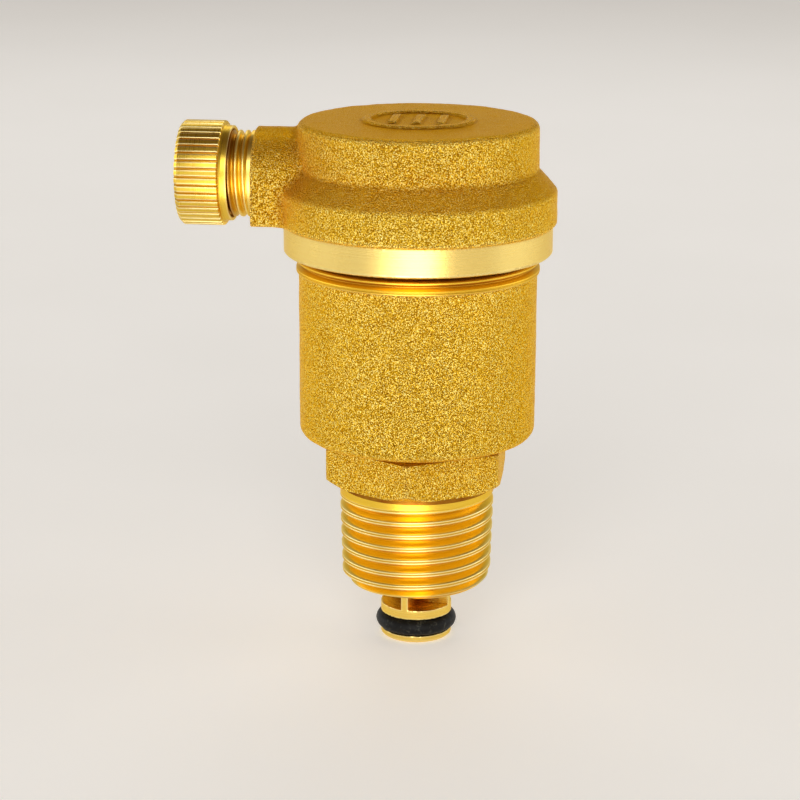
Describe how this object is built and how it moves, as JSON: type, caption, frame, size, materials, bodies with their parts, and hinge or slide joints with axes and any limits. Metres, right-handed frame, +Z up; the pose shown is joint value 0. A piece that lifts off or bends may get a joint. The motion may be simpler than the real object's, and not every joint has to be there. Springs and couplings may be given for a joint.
{
  "type": "automatic air vent",
  "caption": "Cast brass automatic air vent: tapered pipe thread inlet with wrench hexagon, round float chamber, screwed bonnet and knurled cap on a side outlet.",
  "frame": {"origin": "axis of the inlet thread, on the flat underside of the wrench hexagon", "axes": "+Z up the main axis from the inlet stub to the bonnet; the side outlet and its cap point along -X"},
  "size_m": [0.0503, 0.037, 0.0723],
  "materials": {
    "cast_brass": "shot-blasted casting, fine grain, with satin machined faces",
    "turned_brass": "bright turned",
    "black_rubber": "moulded, slight sheen",
    "grey_rubber": "moulded, matt",
    "stainless": "drawn or stamped, satin",
    "lever_plastic": "moulded acetal",
    "float_plastic": "moulded polypropylene"
  },
  "bodies": {
    "housing": {"float_chamber": "cast_brass", "bonnet": "cast_brass", "bonnet_seal_ring": "black_rubber", "vent_nozzle": "turned_brass", "nozzle_seat": "stainless", "lever_bracket": "stainless", "bracket_screws": "stainless", "lever_pin": "stainless", "lever_pin_clip": "stainless", "plunger_guide": "turned_brass", "plunger_spring": "stainless"},
    "cap_carrier": {"cap_washer": "grey_rubber"},
    "cap": {"vent_cap": "turned_brass"},
    "float": {"float_shell": "float_plastic", "float_lid": "float_plastic", "float_hanger": "stainless", "hanger_rivet": "stainless"},
    "lever_arm": {"lever": "lever_plastic", "seal_pad": "black_rubber", "link_pin": "stainless"},
    "plunger": {"shutoff_plunger": "turned_brass", "plunger_o_ring": "black_rubber"}
  },
  "joints": [
    {"name": "cap_travel", "type": "slide", "parent": "housing", "child": "cap_carrier", "axis": [-1, 0, 0], "range_m": [0, 0.00305]},
    {"name": "cap_turn", "type": "hinge", "parent": "cap_carrier", "child": "cap", "pos_m": [-0.028, 0, 0.0414], "axis": [-1, 0, 0], "range_deg": [0, 1080]},
    {"name": "float_lift", "type": "slide", "parent": "housing", "child": "float", "axis": [0, 0, 1], "range_m": [0, 0.0024]},
    {"name": "lever_pivot", "type": "hinge", "parent": "housing", "child": "lever_arm", "pos_m": [-0.0086, 0, 0.038], "axis": [0, -1, 0], "range_deg": [0, 16]},
    {"name": "plunger_slide", "type": "slide", "parent": "housing", "child": "plunger", "axis": [0, 0, 1], "range_m": [0, 0.0067], "deforming": ["plunger_spring"]}
  ],
  "couplings": [
    {"joint": "cap_travel", "follows": "cap_turn", "m_per_rad": 0.00015915},
    {"joint": "lever_pivot", "follows": "float_lift", "rad_per_m": 116.28}
  ]
}
